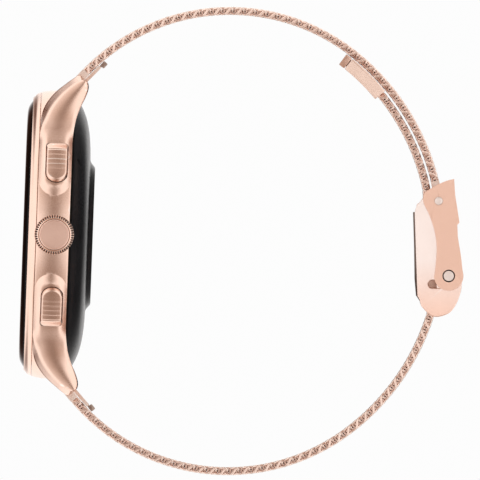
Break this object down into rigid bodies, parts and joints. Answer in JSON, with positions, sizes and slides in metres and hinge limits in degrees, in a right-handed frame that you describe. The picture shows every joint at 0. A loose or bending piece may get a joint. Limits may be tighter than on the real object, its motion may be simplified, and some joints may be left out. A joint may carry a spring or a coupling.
{
  "type": "smartwatch",
  "caption": "Round smartwatch with a knurled crown, side push buttons and a woven metal strap closed by a fold-over sliding clasp.",
  "frame": {"origin": "centre of the flat sensor face that rests on the wrist", "axes": "+X towards 3 o'clock and the crown, +Y from the display towards the wrist, +Z towards 12 o'clock"},
  "size_m": [0.0496, 0.0707, 0.075],
  "materials": {
    "rose_gold": "polished and satin rose-gold plated steel",
    "pale_gold": "bright polished rose-gold plated steel",
    "mesh_gold": "rose-gold plated woven steel wire",
    "steel": "plain bright steel",
    "dark_steel": "dark steel",
    "copper": "enamelled copper wire",
    "cover_glass": "polished black-backed glass",
    "display_black": "unlit display panel",
    "back_plastic": "smooth black plastic",
    "black_plastic": "moulded black plastic",
    "seal_rubber": "black seal rubber",
    "board_green": "solder-masked circuit board",
    "battery_foil": "foil pouch"
  },
  "bodies": {
    "case": {"mid_case": "rose_gold", "bezel": "rose_gold", "front_glass": "cover_glass", "display_gasket": "seal_rubber", "display_panel": "display_black", "back_cover": "back_plastic", "back_gasket": "seal_rubber", "sensor_window": "cover_glass", "inner_chassis": "black_plastic", "main_board": "board_green", "processor_shield": "steel", "vibration_motor": "steel", "speaker_module": "black_plastic", "battery": "battery_foil", "sensor_board": "board_green", "charging_coil": "copper", "crown_tube": "steel", "crown_switch": "black_plastic", "upper_button_switch": "black_plastic", "lower_button_switch": "black_plastic"},
    "crown_plunger": {"crown_plunger": "steel"},
    "crown": {"crown_knob": "rose_gold", "crown_cap": "rose_gold", "crown_shaft": "steel", "crown_o_ring": "seal_rubber"},
    "upper_button": {"upper_button_cap": "rose_gold", "upper_button_clip": "steel"},
    "lower_button": {"lower_button_cap": "rose_gold", "lower_button_clip": "steel"},
    "strap_12_root": {"strap_end_12": "rose_gold", "spring_bar_12": "steel", "strap_12_a": "mesh_gold"},
    "strap_12_mid": {"strap_12_b": "mesh_gold"},
    "strap_12_far": {"strap_12_c": "mesh_gold"},
    "strap_12_tip": {"strap_12_d": "mesh_gold", "strap_12_loop": "rose_gold"},
    "quick_release_12": {"quick_release_pin_12": "steel"},
    "strap_6_root": {"strap_end_6": "rose_gold", "spring_bar_6": "steel", "strap_6_a": "mesh_gold"},
    "strap_6_mid": {"strap_6_b": "mesh_gold"},
    "quick_release_6": {"quick_release_pin_6": "steel"},
    "clasp": {"strap_6_c": "mesh_gold", "strap_6_clasp": "mesh_gold", "strap_6_tail": "mesh_gold", "strap_tail_cap": "pale_gold", "clasp_base": "pale_gold", "lever_pin": "pale_gold", "lock_flap_pin": "steel"},
    "clasp_lever": {"clasp_lever": "rose_gold", "strap_pin": "pale_gold"},
    "lock_flap": {"lock_flap": "dark_steel"}
  },
  "joints": [
    {"name": "crown_push", "type": "slide", "parent": "case", "child": "crown_plunger", "axis": [-1, 0, 0], "range_m": [0, 0.0005], "stiffness_N_per_m": 2500, "springref_m": -0.0003},
    {"name": "crown_spin", "type": "hinge", "parent": "crown_plunger", "child": "crown", "pos_m": [0.0251, -0.00618, 0], "axis": [1, 0, 0], "continuous": true},
    {"name": "upper_button_push", "type": "slide", "parent": "case", "child": "upper_button", "axis": [-0.866, 0, -0.5], "range_m": [0, 0.0004], "stiffness_N_per_m": 2500, "springref_m": -0.0003},
    {"name": "lower_button_push", "type": "slide", "parent": "case", "child": "lower_button", "axis": [-0.866, 0, 0.5], "range_m": [0, 0.0004], "stiffness_N_per_m": 2500, "springref_m": -0.0003},
    {"name": "strap_12_swing", "type": "hinge", "parent": "case", "child": "strap_12_root", "pos_m": [0, -0.003, 0.024], "axis": [1, 0, 0], "range_deg": [0, 23.41]},
    {"name": "strap_12_bend_1", "type": "hinge", "parent": "strap_12_root", "child": "strap_12_mid", "pos_m": [0, 0.01475, 0.03603], "axis": [1, 0, 0], "range_deg": [-9.7, 0]},
    {"name": "strap_12_bend_2", "type": "hinge", "parent": "strap_12_mid", "child": "strap_12_far", "pos_m": [0, 0.03248, 0.03497], "axis": [1, 0, 0], "range_deg": [-9.5, 0]},
    {"name": "strap_12_bend_3", "type": "hinge", "parent": "strap_12_far", "child": "strap_12_tip", "pos_m": [0, 0.04701, 0.02471], "axis": [1, 0, 0], "range_deg": [-9.2, 0]},
    {"name": "strap_6_swing", "type": "hinge", "parent": "case", "child": "strap_6_root", "pos_m": [0, -0.003, -0.024], "axis": [1, 0, 0], "range_deg": [0, 3.4]},
    {"name": "strap_6_bend_1", "type": "hinge", "parent": "strap_6_root", "child": "strap_6_mid", "pos_m": [0, 0.01869, -0.03667], "axis": [1, 0, 0], "range_deg": [0, 11.1]},
    {"name": "strap_6_bend_2", "type": "hinge", "parent": "strap_6_mid", "child": "clasp", "pos_m": [0, 0.04123, -0.03022], "axis": [1, 0, 0], "range_deg": [0, 11.4]},
    {"name": "clasp_fold", "type": "hinge", "parent": "clasp", "child": "clasp_lever", "pos_m": [0, 0.05715, -0.00431], "axis": [-1, 0, 0], "range_deg": [0, 60.2]},
    {"name": "lock_flap_hinge", "type": "hinge", "parent": "clasp", "child": "lock_flap", "pos_m": [0, 0.05326, -0.00855], "axis": [1, 0, 0], "range_deg": [0, 75]},
    {"name": "quick_release_12_slide", "type": "slide", "parent": "strap_12_root", "child": "quick_release_12", "axis": [-1, 0, 0], "range_m": [0, 0.0016], "stiffness_N_per_m": 600, "springref_m": -0.001},
    {"name": "quick_release_6_slide", "type": "slide", "parent": "strap_6_root", "child": "quick_release_6", "axis": [-1, 0, 0], "range_m": [0, 0.0016], "stiffness_N_per_m": 600, "springref_m": -0.001}
  ],
  "couplings": [
    {"joint": "strap_12_bend_1", "follows": "strap_12_swing", "ratio": -0.40795},
    {"joint": "strap_12_bend_2", "follows": "strap_12_swing", "ratio": -0.39727},
    {"joint": "strap_12_bend_3", "follows": "strap_12_swing", "ratio": -0.38659},
    {"joint": "strap_6_swing", "follows": "strap_12_swing", "ratio": 0.13798},
    {"joint": "strap_6_bend_1", "follows": "strap_12_swing", "ratio": 0.46775},
    {"joint": "strap_6_bend_2", "follows": "strap_12_swing", "ratio": 0.48099},
    {"joint": "clasp_fold", "follows": "strap_12_swing", "ratio": 2.563}
  ]
}
